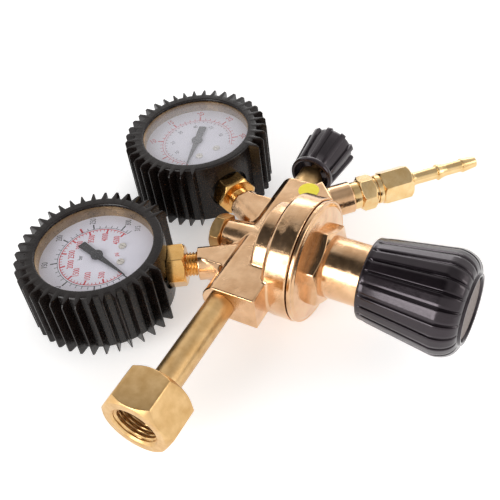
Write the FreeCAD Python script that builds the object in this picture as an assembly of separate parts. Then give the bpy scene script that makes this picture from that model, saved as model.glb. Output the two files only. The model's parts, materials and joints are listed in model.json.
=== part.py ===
"""Two-gauge cylinder regulator for carbon dioxide, as an assembly of separate solids.

Every piece is modelled in the regulator's own axes, in millimetres: X runs along the
adjusting knob, Y from the inlet to the outlet valve, and Z out of the gauge dials.  X, the
inlet and the outlet valve all cross at the origin.  place() then lays the whole assembly
down as it rests on a bench, on the rims of both gauge boots and the rim of the body.
"""
import os

import FreeCAD
import Part
from math import atan2, cos, degrees, pi, radians, sin

V = FreeCAD.Vector
X = V(1, 0, 0)
Y = V(0, 1, 0)
Z = V(0, 0, 1)
ORIGIN = V(0, 0, 0)

# Gaps between pieces
RUN = 0.06                 # radial clearance of a running fit
CLEAR = 0.3                # between pieces that move past each other

# Body casting
ARM_HALF = 9.5             # half thickness of the flat-topped arms
ARM_ROUND = 10.2           # radius of the arms' rounded back
ARM_FRONT = 18.1           # x of the arms' flat front
ARM_END = 41.6             # y of each arm's end
TAPER_START = 24.0         # the outlet arm's front slopes from here back to TAPER_X
TAPER_X = 9.9
STEP_DISC_R = 23.7
STEP_DISC_X = (5.3, 14.4)
RIM_R = 30.9
RIM_X = (14.4, 27.6)
RIM_BEVEL = 2.0
REAR_BOSS = ((-20.0, 8.2), (-3.0, 9.7))
PLUG_HEX_X = (-26.0, -20.0)
PLUG_ACROSS = 18.0
CHAMBER_R = 23.0
CHAMBER_X = 18.0
LEDGE_X = 22.6             # the diaphragm lies on this ledge
BONNET_THREAD_R = 27.5
NOZZLE_R = 5.2
HIGH_CHAMBER_R = 5.0
SEAT_X = 4.0
FLOW_R = 2.7               # inlet passage

# Outlet branch, at 45 degrees between the valve and the knob
BRANCH_START = V(0, 22.4, 0)
BRANCH_END = 37.1
BRANCH_R = 8.2
BRANCH_WEB = 24.5          # how far the flat web runs out along the branch
BRANCH_DIR = V(1, 1, 0).normalize()
BRANCH_SIDE = V(-1, 1, 0).normalize()

# Inlet
STEM_R = 6.9
STEM_THREAD_R = 5.6
STEM_BORE_R = 2.7
STEM_START = 29.4          # inner end of the stem's thread
NUT_ACROSS = 32.0
NUT_CORNER_AT = 58.0       # degrees round from +X towards +Z
NUT_BACK = 93.9            # distances from the knob axis towards the cylinder
NUT_FACE = 114.6
NUT_WALL = 3.4
NUT_BORE_R = 10.9          # W21.8 x 1/14, drawn plain
NUT_MOUTH_R = 11.7
NUT_MOUTH_DEPTH = 1.0
NUT_RELIEF_R = 11.3        # plain undercut behind the thread, round the nipple head
NUT_RELIEF_END = 103.0
NIPPLE_HEAD = NUT_BACK + NUT_WALL + CLEAR
NIPPLE_HEAD_R = 10.2
NIPPLE_HEAD_LONG = 3.0
WASHER_THICK = 2.0
FILTER_R = 3.4
FILTER_LONG = 11.6
FILTER_START = NIPPLE_HEAD - 9.0

# Bonnet and knob
BONNET_ACROSS = 36.0
BONNET_CORNER_AT = 30.0    # degrees round from +Y towards +Z
FLANGE_X = (28.2, 29.9)
FLANGE_R = 30.4
NECK_R = 15.15
NECK_END = 66.0
HEX_X = (31.4, 37.7)
SPRING_BORE_R = 12.2
SCREW_R = 6.0
SCREW_TRAVEL = 8.0
KNOB_X = 57.0
KNOB_SKIRT_R = 19.9
KNOB_MAX_R = 25.3
KNOB_SHOULDER_X = 95.0
KNOB_END = 105.5
KNOB_END_R = 16.4
KNOB_FLUTES = 22
KNOB_BORE_R = 15.9
CAP_R = 15.2
CAP_X = 102.6
SCREW_END = 96.0

# Gauges: both stems meet on the knob axis
STEM_MEET_X = 17.5
STEM_ANGLE = 30.0
GAUGE_REACH = 94.5         # gauge centre to the meeting point
GAUGE_HEX_ACROSS = 19.0
GAUGE_HEX_END = 41.8       # distances from the gauge centre along the stem
BOSS_FACE = 47.7
GAUGE_THREAD_R = 6.0
GAUGE_THREAD_END = 59.5
BOSS_R = 8.2
BOSS_HALF = 7.6            # half thickness of the flat-topped gauge bosses
BOSS_WEB_Y = 25.5          # outer edge of each boss's web
BOOT_FRONT = 19.4
BOOT_BACK = -16.6
BOOT_WINDOW_R = 28.7
BOOT_BODY_R = 33.6
RIB_TIP_R = 38.8
RIB_PITCH = 9.3            # degrees
RIB_FREE = 31.0            # half of the smooth stretch at the stem, degrees
RIB_FOOT = 2.4             # half width of a rib at its foot, degrees
RIB_CREST = 0.6            # and at its crest
LIP_UNDER = 17.8           # underside of the lip over the window
CASE_R = 31.2
CASE_WALL = 0.8
CASE_Z = (-14.2, 17.2)
LENS_Z = (15.8, 17.2)
DIAL_TOP = 11.6
DIAL_SCREW_HEAD = 0.5      # the needle's tail sweeps 0.2 over it
DIAL_THICK = 0.6
POINTER_ZERO = -45.0       # degrees from the stem, seen from the front
POINTER_REACH = 21.0
POINTER_TAIL = 12.0
POINTER_HUB_R = 2.8
PINION_R = 2.0
SECTOR_R = 14.0
TOOTH_MODULE = 0.5

# Outlet valve
VALVE_TRAVEL = 2.0
VALVE_SEAT_Y = 19.5
SMALL_KNOB_Y = (55.3, 83.0)
SMALL_KNOB_R = (11.6, 13.9)
SMALL_KNOB_RIBS = 10
PACKING_R = 6.3
PACKING_TOP = 57.5
RING_GROOVE_R = 4.6
VALVE_BORE_R = 5.0
SPINDLE_R = 3.0

# Outlet fittings, distances along the branch
FITTING_ACROSS = 16.0
UNION_CORNER_AT = 24.0     # degrees round from the side towards +Z
ADAPTOR_HEX = (41.3, 49.3)
ADAPTOR_CORNER_AT = 40.0
UNION_NUT = (50.6, 69.1)
UNION_COLLAR_END = 53.1
UNION_THREAD_R = 6.58
BARB_END = 106.7
BARB_RIDGE_AT = 84.7
BARB_RIDGE_R = 4.2
BARB_COLLAR_R = 3.95
BARB_TUBE_R = 3.3
BARB_END_R = 3.15

# How it lies on a bench: far rims of both boots and the rim of the body touch down
BOOT_EDGE = 1.4            # bevel round both faces of a boot
BOOT_FAR_X = STEM_MEET_X - GAUGE_REACH * cos(radians(STEM_ANGLE)) - (RIB_TIP_R - BOOT_EDGE)
LIE_TILT = degrees(atan2(RIM_R + BOOT_BACK, RIM_X[0] + RIM_BEVEL - BOOT_FAR_X))


class Line:
    """An axis with an angle zero: base point, direction, and where angles start."""

    def __init__(self, base, along, start):
        self.base = base
        self.along = along
        self.start = start
        self.side = along.cross(start)

    def point(self, distance, radius=0.0, angle=0.0):
        turn = radians(angle)
        across = self.start * (radius * cos(turn)) + self.side * (radius * sin(turn))
        return self.base + self.along * distance + across

    def aim(self, solid):
        """Move a solid drawn along Z from the origin onto this axis."""
        turn = FreeCAD.Rotation(self.start, self.side, self.along, "ZXY")
        moved = solid.copy()
        moved.Placement = FreeCAD.Placement(self.base, turn)
        return moved


KNOB_LINE = Line(ORIGIN, X, Y)
INLET_LINE = Line(ORIGIN, -Y, X)
VALVE_LINE = Line(ORIGIN, Y, Z)
BRANCH_LINE = Line(BRANCH_START, BRANCH_DIR, BRANCH_SIDE)


def gauge_line(side):
    """Stem of one gauge, from the dial's centre to the body: side is -1 or +1 in Y."""
    turn = radians(STEM_ANGLE)
    out = V(-cos(turn), side * sin(turn), 0)
    centre = V(STEM_MEET_X, 0, 0) + out * GAUGE_REACH
    return Line(centre, -out, Z.cross(-out))


def dial_line(side):
    """Axis of one dial, with angles measured from its stem as seen from the front."""
    stem = gauge_line(side)
    return Line(stem.base, Z, stem.along)


def rod(line, start, end, radius):
    return line.aim(Part.makeCylinder(radius, end - start, V(0, 0, start)))


def tube(line, start, end, outer, inner):
    return rod(line, start, end, outer).cut(rod(line, start - 1, end + 1, inner))


def turned(line, profile):
    """Solid of revolution from (distance, radius) corners."""
    corners = [V(radius, 0, distance) for distance, radius in profile]
    face = Part.Face(Part.makePolygon(corners + corners[:1]))
    return line.aim(face.revolve(ORIGIN, Z, 360))


def prism(line, start, end, corners):
    """Straight prism from (first, second) corners across the line."""
    points = [V(first, second, start) for first, second in corners]
    face = Part.Face(Part.makePolygon(points + points[:1]))
    return line.aim(face.extrude(V(0, 0, end - start)))


def ring_points(count, radius, first=0.0):
    turns = [radians(first + 360.0 * index / count) for index in range(count)]
    return [(radius * cos(turn), radius * sin(turn)) for turn in turns]


def hexagon(line, start, end, across, first, bevel=1.2):
    """Hexagon bar with both ends bevelled; first is the angle of one corner."""
    corner = across / 2 / cos(pi / 6)
    bar = prism(line, start, end, ring_points(6, corner, first))
    low = across / 2 * 0.98
    profile = [(start, 0), (start, low), (start + bevel, corner + 0.1)]
    profile += [(end - bevel, corner + 0.1), (end, low), (end, 0)]
    return bar.common(turned(line, profile))


def joined(pieces):
    whole = pieces[0]
    for piece in pieces[1:]:
        whole = whole.fuse(piece)
    return whole.removeSplitter()


def without(solid, tools):
    for tool in tools:
        solid = solid.cut(tool)
    return solid


def coil(line, start, end, mean_radius, wire_radius, turns):
    """Round-wire compression spring, with its whole wire between start and end."""
    height = end - start - 2 * wire_radius
    path = Part.makeHelix(height / turns, height, mean_radius)
    path.translate(V(0, 0, start + wire_radius))
    slope = V(0, 2 * pi * mean_radius, height / turns)
    section = Part.Wire(Part.makeCircle(wire_radius, V(mean_radius, 0, start + wire_radius), slope))
    sweep = Part.BRepOffsetAPI.MakePipeShell(Part.Wire(path.Edges))
    sweep.setFrenetMode(True)
    sweep.add(section)
    sweep.build()
    sweep.makeSolid()
    return line.aim(sweep.shape())


# ---------------------------------------------------------------- body and inlet

def gauge_boss(side):
    """Round boss with a flat top and a web on its outer side, for one gauge stem."""
    stem = gauge_line(side)
    start = GAUGE_REACH - 20.0
    near = stem.point(BOSS_FACE + 2.5)
    far = stem.point(start)
    outer = side * BOSS_WEB_Y
    corners = [(near.x, near.y), (near.x + 1.5, outer), (-2.0, outer), (0, outer / 2), (far.x, far.y)]
    everywhere = Line(ORIGIN, Z, X)
    web = prism(everywhere, -BOSS_HALF, BOSS_HALF, corners)
    slab = rod(everywhere, -BOSS_HALF, BOSS_HALF, GAUGE_REACH)
    return rod(stem, BOSS_FACE, start, BOSS_R).common(slab).fuse(web)


def arms():
    """Flat-topped inlet and outlet arms with a rounded back, in one bar along Y."""
    along = Line(ORIGIN, Y, X)
    back = rod(along, -ARM_END, ARM_END, ARM_ROUND)
    front = Part.makeBox(ARM_FRONT, 2 * ARM_END, 2 * ARM_HALF, V(0, -ARM_END, -ARM_HALF))
    slab_corner = V(-ARM_ROUND, -ARM_END, -ARM_HALF)
    slab = Part.makeBox(2 * ARM_ROUND, 2 * ARM_END, 2 * ARM_HALF, slab_corner)
    outline = [(-ARM_ROUND, -ARM_END), (ARM_FRONT, -ARM_END), (ARM_FRONT, TAPER_START)]
    outline += [(TAPER_X, ARM_END), (-ARM_ROUND, ARM_END)]
    keep = prism(Line(ORIGIN, Z, X), -ARM_HALF, ARM_HALF, outline)
    return back.common(slab).fuse(front.common(keep))


def outlet_web():
    """Flat web between the outlet valve arm and the branch."""
    near = BRANCH_LINE.point(BRANCH_WEB, BRANCH_R - 0.8)
    far = BRANCH_LINE.point(BRANCH_WEB, 0.8 - BRANCH_R)
    corners = [(0, 8), (0, ARM_END), (TAPER_X, ARM_END), (near.x, near.y), (far.x, far.y)]
    corners += [(ARM_FRONT, TAPER_START), (ARM_FRONT, 8)]
    return prism(Line(ORIGIN, Z, X), -ARM_HALF, ARM_HALF, corners)


def body_casting():
    hub = [(REAR_BOSS[0][0], 0), REAR_BOSS[0], REAR_BOSS[1], (STEP_DISC_X[0], REAR_BOSS[1][1])]
    hub += [(STEP_DISC_X[0], STEP_DISC_R - 0.8), (STEP_DISC_X[0] + 0.8, STEP_DISC_R), (RIM_X[0], STEP_DISC_R)]
    hub += [(RIM_X[0], RIM_R - RIM_BEVEL), (RIM_X[0] + RIM_BEVEL, RIM_R), (RIM_X[1], RIM_R), (RIM_X[1], 0)]
    branch = rod(BRANCH_LINE, 6.0, BRANCH_END, BRANCH_R)
    solid = joined([turned(KNOB_LINE, hub), arms(), outlet_web(), branch, gauge_boss(-1), gauge_boss(1)])
    cuts = [rod(KNOB_LINE, CHAMBER_X, RIM_X[1] + 1, CHAMBER_R)]
    cuts.append(rod(KNOB_LINE, LEDGE_X, RIM_X[1] + 1, BONNET_THREAD_R))
    cuts.append(rod(KNOB_LINE, SEAT_X, CHAMBER_X + 1, NOZZLE_R))
    cuts.append(rod(KNOB_LINE, REAR_BOSS[0][0] - 1, SEAT_X, HIGH_CHAMBER_R))
    cuts += [rod(INLET_LINE, 29.0, ARM_END + 1, STEM_THREAD_R), rod(INLET_LINE, 0, 30.0, FLOW_R)]
    cuts.append(rod(VALVE_LINE, 30.0, ARM_END + 1, STEM_THREAD_R))
    cuts.append(rod(VALVE_LINE, VALVE_SEAT_Y, 31.0, VALVE_BORE_R))
    cuts += [rod(VALVE_LINE, 8.5, 20.0, 2.2), rod(Line(V(0, 14, 0), X, Y), 0, CHAMBER_X + 1, 1.6)]
    cuts += [rod(BRANCH_LINE, 2.0, 26.0, 2.6), rod(BRANCH_LINE, 25.0, BRANCH_END + 1, GAUGE_THREAD_R)]
    for side in (-1, 1):
        stem = gauge_line(side)
        cuts.append(rod(stem, BOSS_FACE - 1, GAUGE_THREAD_END + 1, GAUGE_THREAD_R))
        cuts.append(rod(stem, GAUGE_THREAD_END, GAUGE_REACH - 19.6, 1.5))
    return without(solid, cuts)


def inlet_stem():
    """Tube with a threaded end in the body and a nipple head inside the nut."""
    head = NIPPLE_HEAD
    face = head + NIPPLE_HEAD_LONG
    profile = [(STEM_START, 0), (STEM_START, STEM_THREAD_R), (ARM_END, STEM_THREAD_R), (ARM_END, STEM_R)]
    profile += [(head, STEM_R), (head, NIPPLE_HEAD_R), (face, NIPPLE_HEAD_R), (face, 0)]
    passage = [rod(INLET_LINE, STEM_START - 1, face + 1, STEM_BORE_R)]
    passage.append(rod(INLET_LINE, FILTER_START, face + 1, FILTER_R))
    return without(turned(INLET_LINE, profile), passage)


def inlet_filter():
    return tube(INLET_LINE, FILTER_START, FILTER_START + FILTER_LONG, FILTER_R, 1.5)


def inlet_washer():
    face = NIPPLE_HEAD + NIPPLE_HEAD_LONG
    return tube(INLET_LINE, face, face + WASHER_THICK, NIPPLE_HEAD_R - 0.8, FILTER_R + 0.2)


def inlet_nut():
    outside = hexagon(INLET_LINE, NUT_BACK, NUT_FACE, NUT_ACROSS, NUT_CORNER_AT, 2.2)
    mouth = [(NUT_FACE - NUT_MOUTH_DEPTH, 0), (NUT_FACE - NUT_MOUTH_DEPTH, NUT_BORE_R)]
    mouth += [(NUT_FACE + 0.01, NUT_MOUTH_R), (NUT_FACE + 0.01, 0)]
    cuts = [rod(INLET_LINE, NUT_RELIEF_END - 1, NUT_FACE, NUT_BORE_R), turned(INLET_LINE, mouth)]
    cuts.append(rod(INLET_LINE, NUT_BACK + NUT_WALL, NUT_RELIEF_END, NUT_RELIEF_R))
    cuts.append(rod(INLET_LINE, NUT_BACK - 1, NUT_BACK + NUT_WALL + 1, STEM_R + CLEAR))
    return without(outside, cuts)


# ---------------------------------------------------------------- pressure stage

def rear_plug():
    head = hexagon(KNOB_LINE, PLUG_HEX_X[0], PLUG_HEX_X[1], PLUG_ACROSS, BONNET_CORNER_AT, 1.6)
    spigot = rod(KNOB_LINE, PLUG_HEX_X[1], -12.0, HIGH_CHAMBER_R)
    return head.fuse(spigot).cut(rod(KNOB_LINE, PLUG_HEX_X[1], -11.0, 3.7))


def poppet():
    """Valve head, spring guide and the pin that reaches the diaphragm's pusher."""
    profile = [(-9.0, 0), (-9.0, 2.0), (-3.0, 2.0), (-3.0, 4.2), (1.4, 4.2), (1.4, 3.0), (2.0, 3.0)]
    profile += [(2.0, 1.2), (20.5, 1.2), (20.5, 0)]
    return turned(KNOB_LINE, profile)


def poppet_seal():
    return tube(KNOB_LINE, 2.0, SEAT_X - 0.1, 3.6, 1.2)


def poppet_spring():
    return coil(KNOB_LINE, -19.9, -3.1, 3.0, 0.5, 6)


def seat_nozzle():
    profile = [(SEAT_X, 0), (SEAT_X, 2.4), (SEAT_X + 0.6, NOZZLE_R), (CHAMBER_X, NOZZLE_R), (CHAMBER_X, 7.4)]
    profile += [(CHAMBER_X + 1.6, 7.4), (CHAMBER_X + 1.6, 0)]
    return turned(KNOB_LINE, profile).cut(rod(KNOB_LINE, 3, 20, 1.6))


def diaphragm_pusher():
    return turned(KNOB_LINE, [(20.6, 0), (20.6, 4.5), (21.4, 7.0), (LEDGE_X, 7.0), (LEDGE_X, 0)])


def diaphragm():
    return rod(KNOB_LINE, LEDGE_X, LEDGE_X + 0.9, BONNET_THREAD_R - 0.2)


def slip_ring():
    return tube(KNOB_LINE, LEDGE_X + 0.9, LEDGE_X + 1.7, BONNET_THREAD_R - 0.2, CHAMBER_R)


def diaphragm_plate():
    start = LEDGE_X + 0.9
    step = start + 2.5
    end = start + 5.0
    return turned(KNOB_LINE, [(start, 0), (start, 16.0), (step, 16.0), (step, 7.2), (end, 6.4), (end, 0)])


def adjusting_spring():
    return coil(KNOB_LINE, LEDGE_X + 3.5, 47.9, 9.6, 1.4, 5)


def spring_button():
    profile = [(45.4, 0), (45.4, 6.4), (48.0, 7.2), (48.0, 11.6), (51.0, 11.6), (51.0, 0)]
    return turned(KNOB_LINE, profile)


def bonnet():
    """Screws into the body over the diaphragm: flange, hexagon and spring neck."""
    start = LEDGE_X + 1.7
    flange = [(start, 0), (start, BONNET_THREAD_R), (FLANGE_X[0], BONNET_THREAD_R), (FLANGE_X[0], FLANGE_R)]
    flange += [(FLANGE_X[1], FLANGE_R), (30.9, 27.6), (31.7, 21.0), (31.7, NECK_R)]
    flange += [(NECK_END, NECK_R), (NECK_END, 0)]
    across = hexagon(KNOB_LINE, HEX_X[0] - 1.5, HEX_X[1], BONNET_ACROSS, BONNET_CORNER_AT, 1.0)
    room = [(start - 1, 0), (start - 1, 22.6), (29.6, 22.6), (30.4, 17.0), (33.4, SPRING_BORE_R)]
    room += [(56.0, SPRING_BORE_R), (56.0, 0)]
    solid = turned(KNOB_LINE, flange).fuse(across).removeSplitter()
    return without(solid, [turned(KNOB_LINE, room), rod(KNOB_LINE, 55, NECK_END + 1, SCREW_R + RUN)])


# ---------------------------------------------------------------- adjusting knob

def adjusting_screw():
    return turned(KNOB_LINE, [(51.1, 0), (51.1, 3.2), (52.6, SCREW_R), (SCREW_END, SCREW_R), (SCREW_END, 0)])


def knob():
    """Tapered black knob with rounded flutes and a skirt round the bonnet's neck."""
    outside = [(KNOB_X, 0), (KNOB_X, KNOB_SKIRT_R - 0.6), (KNOB_X + 0.8, KNOB_SKIRT_R)]
    outside += [(KNOB_SHOULDER_X, KNOB_MAX_R), (99.0, 24.2), (102.0, 21.8), (104.2, 18.6)]
    outside += [(KNOB_END, KNOB_END_R), (KNOB_END, 0)]
    solid = turned(KNOB_LINE, outside)
    slope = (KNOB_MAX_R - KNOB_SKIRT_R) / (KNOB_SHOULDER_X - KNOB_X)
    for index in range(KNOB_FLUTES):
        angle = 360.0 * index / KNOB_FLUTES
        start = KNOB_LINE.point(KNOB_X + 3.0, KNOB_SKIRT_R + slope * 3.0 + 1.2, angle)
        end = KNOB_LINE.point(KNOB_END + 6.0, KNOB_MAX_R + 1.9, angle)
        flute = Part.makeCylinder(2.0, (end - start).Length, start, end - start)
        solid = solid.cut(flute)
    hub_start = NECK_END + SCREW_TRAVEL + 1.0
    cuts = [rod(KNOB_LINE, KNOB_X - 1, hub_start, KNOB_BORE_R)]
    cuts.append(rod(KNOB_LINE, hub_start - 1, SCREW_END, SCREW_R))
    cuts += [rod(KNOB_LINE, SCREW_END - 1, CAP_X, 5.2), rod(KNOB_LINE, CAP_X, KNOB_END + 1, CAP_R)]
    return without(solid, cuts)


def knob_screw():
    """Slotted screw that holds the knob on the adjusting screw, under the cap."""
    head = rod(KNOB_LINE, SCREW_END, SCREW_END + 3.0, 5.0)
    slot = Part.makeBox(1.4, 12, 1.2, V(SCREW_END + 1.8, -6, -0.6))
    return head.cut(slot)


def knob_cap():
    edge = CAP_R - 0.1
    top = CAP_X + 1.7
    return turned(KNOB_LINE, [(CAP_X, 0), (CAP_X, edge), (top - 0.5, edge), (top, CAP_R - 1.0), (top, 0)])


# ---------------------------------------------------------------- gauges

def gauge_socket(side):
    """Brass stem: block that carries the tube, hexagon, and thread into the body."""
    stem = gauge_line(side)
    block = prism(stem, 9.0, 25.0, [(-7, -9.0), (7, -9.0), (7, 2.4), (-7, 2.4)])
    neck = rod(stem, 22.0, 33.0, 6.8)
    across = hexagon(stem, 32.5, GAUGE_HEX_END, GAUGE_HEX_ACROSS, 0.0, 1.2)
    thread = rod(stem, GAUGE_HEX_END - 1, GAUGE_THREAD_END, GAUGE_THREAD_R)
    return joined([block, neck, across, thread]).cut(rod(stem, 12.0, GAUGE_THREAD_END + 1, 1.2))


def gauge_case(side):
    dial = dial_line(side)
    cup = rod(dial, CASE_Z[0], CASE_Z[1], CASE_R)
    room = rod(dial, CASE_Z[0] + CASE_WALL, CASE_Z[1] + 1, CASE_R - CASE_WALL)
    return without(cup, [room, rod(gauge_line(side), 20, 40, 7.0)])


def gauge_boot(side):
    """Rubber boot with sharp ribs, a smooth stretch and a round hole at the stem."""
    dial = dial_line(side)
    outline = []
    ribs = int((360.0 - 2 * RIB_FREE) / RIB_PITCH) + 1
    first = 180.0 - RIB_PITCH * (ribs - 1) / 2
    for index in range(ribs):
        middle = first + RIB_PITCH * index
        for offset in (-RIB_FOOT, -RIB_CREST, RIB_CREST, RIB_FOOT):
            radius = RIB_TIP_R if abs(offset) == RIB_CREST else BOOT_BODY_R
            turn = radians(middle + offset)
            outline.append((radius * cos(turn), radius * sin(turn)))
    smooth = int(2 * RIB_FREE / 5.0)
    last = first + RIB_PITCH * (ribs - 1) + RIB_FOOT
    gap = 360.0 - (last - first) - RIB_FOOT
    for index in range(1, smooth):
        turn = radians(last + gap * index / smooth)
        outline.append((BOOT_BODY_R * cos(turn), BOOT_BODY_R * sin(turn)))
    solid = prism(dial, BOOT_BACK, BOOT_FRONT, outline)
    rims = [(BOOT_BACK, 0), (BOOT_BACK, RIB_TIP_R - BOOT_EDGE), (BOOT_BACK + BOOT_EDGE, RIB_TIP_R)]
    rims += [(BOOT_FRONT - BOOT_EDGE, RIB_TIP_R), (BOOT_FRONT, RIB_TIP_R - BOOT_EDGE), (BOOT_FRONT, 0)]
    solid = solid.common(turned(dial, rims))
    cuts = [rod(dial, CASE_Z[0] - 0.2, LIP_UNDER, CASE_R)]
    cuts.append(rod(dial, CASE_Z[1], BOOT_FRONT + 1, BOOT_WINDOW_R))
    cuts += [rod(dial, BOOT_BACK - 1, CASE_Z[0], 24.0), rod(gauge_line(side), 20, 50, 11.0)]
    return without(solid, cuts)


def gauge_bezel(side):
    return tube(dial_line(side), DIAL_TOP, LENS_Z[0], CASE_R - CASE_WALL, BOOT_WINDOW_R + 0.3)


def gauge_lens(side):
    return rod(dial_line(side), LENS_Z[0], LENS_Z[1], CASE_R - CASE_WALL)


def dial_screw_points(side):
    dial = dial_line(side)
    return [dial.point(0, 13.0, angle) for angle in (-24.0, 24.0)]


def gauge_dial(side):
    dial = dial_line(side)
    holes = [rod(dial, 5, 20, 1.4)]
    holes += [Part.makeCylinder(1.0, 20, point + Z * 5, Z) for point in dial_screw_points(side)]
    return without(rod(dial, DIAL_TOP - DIAL_THICK, DIAL_TOP, CASE_R - CASE_WALL), holes)


def dial_screws(side):
    """Two slotted screws that hold the dial to the movement's top plate."""
    screws = []
    for point in dial_screw_points(side):
        head = Part.makeCylinder(1.9, DIAL_SCREW_HEAD, point + Z * DIAL_TOP, Z)
        shank = Part.makeCylinder(1.0, DIAL_TOP - 8.0, point + Z * 8.0, Z)
        slot = Part.makeBox(4, 0.5, DIAL_SCREW_HEAD, point + V(-2, -0.25, DIAL_TOP + 0.25))
        screws.append(head.fuse(shank).cut(slot))
    return Part.makeCompound(screws)


def movement_frame(side):
    """Two brass plates on four pillars, standing on the socket's block."""
    dial = dial_line(side)
    outline = [(-7.5, -9), (15.5, -9), (15.5, 19), (-7.5, 19)]
    lower = prism(dial, 2.4, 3.4, outline)
    upper = prism(dial, 9.0, 10.0, outline)
    pieces = [lower, upper]
    for first, second in ((13.5, -7), (13.5, 17), (-5.5, -7), (-5.5, 17.4)):
        post = Line(dial.base + dial.start * first + dial.side * second, Z, X)
        pieces.append(rod(post, 3.0, 9.5, 1.3))
    holes = [rod(dial, 1, 12, 0.6 + RUN), rod(sector_line(side), 1, 12, 0.6 + RUN)]
    holes += [Part.makeCylinder(1.0, 6, point + Z * 8, Z) for point in dial_screw_points(side)]
    return without(joined(pieces), holes)


def sector_line(side):
    """Pivot of the toothed sector, beside the pointer's pinion."""
    dial = dial_line(side)
    return Line(dial.base + dial.side * (PINION_R + SECTOR_R + 0.12), Z, dial.start)


def toothed(line, start, end, teeth, first, arc, root_gap=0.7, close=()):
    """Straight-flanked teeth round a pitch circle, from angle first over arc degrees."""
    pitch_radius = TOOTH_MODULE * teeth / 2
    pitch = 360.0 / teeth
    corners = list(close)
    for index in range(int(round(arc / pitch))):
        middle = first + pitch * index
        for part, radius in ((-0.34, -root_gap), (-0.12, 0.42), (0.12, 0.42), (0.34, -root_gap)):
            turn = radians(middle + part * pitch)
            reach = pitch_radius + radius
            corners.append((reach * cos(turn), reach * sin(turn)))
    return prism(line, start, end, corners)


def sector_gear(side):
    """Toothed sector with its arbor and the tail that the link pulls."""
    line = sector_line(side)
    teeth = int(2 * SECTOR_R / TOOTH_MODULE)
    pitch = 360.0 / teeth
    fan = toothed(line, 5.4, 6.4, teeth, -90.0 - pitch * 7.5, pitch * 10, close=((2.0, 0.0), (-2.0, 0.0)))
    hub = rod(line, 4.0, 8.4, 2.0)
    arbor = rod(line, 2.6, 9.8, 0.6)
    tail = prism(line, 5.4, 6.4, [(-1.3, 0), (1.3, 0), (1.3, 8.2), (-1.3, 8.2)])
    return joined([fan, hub, arbor, tail])


def pointer_arbor(side):
    """Pointer's shaft with its pinion."""
    dial = dial_line(side)
    teeth = int(2 * PINION_R / TOOTH_MODULE)
    pinion = toothed(dial, 5.0, 6.9, teeth, 90.0, 360.0, root_gap=0.75)
    return joined([rod(dial, 2.6, 13.0, 0.6), pinion])


def gauge_pointer(side):
    """Flat needle with a hub and a wide tail, standing at zero."""
    dial = dial_line(side)
    needle = Line(dial.base, Z, dial.point(0, 1.0, POINTER_ZERO) - dial.base)
    half = [(-POINTER_TAIL, 1.9), (0, 1.5), (POINTER_REACH, 0.25)]
    corners = half + [(along, -across) for along, across in reversed(half)]
    blade = prism(needle, 12.3, 12.7, corners)
    solid = blade.fuse(rod(needle, 12.1, 13.6, POINTER_HUB_R)).removeSplitter()
    return solid.cut(rod(needle, 11, 13.0, 0.6))


def bourdon_tube(side):
    """Flattened C-shaped tube from the socket's block round to its free tip."""
    dial = dial_line(side)
    band = tube(dial, -8.6, -1.6, 26.4, 24.0)
    wedge = prism(dial, -12, 4, [(0, 0), (0, -7.0), (45, -7.0), (45, 60), (-9, 45)])
    arc = band.cut(wedge)
    tip = rod(Line(dial.point(0, 25.2, 103.0), Z, X), -3.0, 4.6, 0.9)
    return joined([arc, tip])


def gauge_link(side):
    """Strip that joins the tube's tip to the sector's tail."""
    dial = dial_line(side)
    tail = sector_line(side).point(0, 7.4, 90.0)
    tip = dial.point(0, 25.2, 103.0)
    away = tip - tail
    strip = Line(tail, Z, away.normalize())
    length = (tip - tail).Length
    return prism(strip, 4.65, 5.1, [(-1.0, -0.9), (length + 1.0, -0.9), (length + 1.0, 0.9), (-1.0, 0.9)])


# ---------------------------------------------------------------- outlet valve

def packing_nut():
    """Brass nut that guides the valve spindle and closes the valve arm."""
    top = PACKING_TOP
    outside = [(ARM_END, 0), (ARM_END, PACKING_R), (top - 1, PACKING_R), (top, PACKING_R - 1), (top, 0)]
    head = turned(VALVE_LINE, outside)
    spigot = rod(VALVE_LINE, 31.0, ARM_END, STEM_THREAD_R)
    hollow = [rod(VALVE_LINE, 30, top + 1, SPINDLE_R + RUN), rod(VALVE_LINE, 46.0, 48.0, RING_GROOVE_R)]
    hollow.append(rod(VALVE_LINE, 30, 34.5, VALVE_BORE_R))
    return without(head.fuse(spigot).removeSplitter(), hollow)


def valve_ring():
    return tube(VALVE_LINE, 46.1, 47.9, RING_GROOVE_R - 0.1, SPINDLE_R + RUN)


def valve_spindle():
    return turned(VALVE_LINE, [(31.6, 0), (31.6, 1.6), (32.4, SPINDLE_R), (79.0, SPINDLE_R), (79.0, 0)])


def valve_plunger():
    wide = VALVE_BORE_R - CLEAR
    return turned(VALVE_LINE, [(23.0, 0), (23.0, 3.0), (26.6, 3.0), (26.6, wide), (31.4, wide), (31.4, 0)])


def valve_pad():
    face = VALVE_SEAT_Y + 0.1 + VALVE_TRAVEL
    return turned(VALVE_LINE, [(face, 0), (face, 3.0), (face + 0.4, 3.4), (23.0, 3.4), (23.0, 0)])


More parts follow.
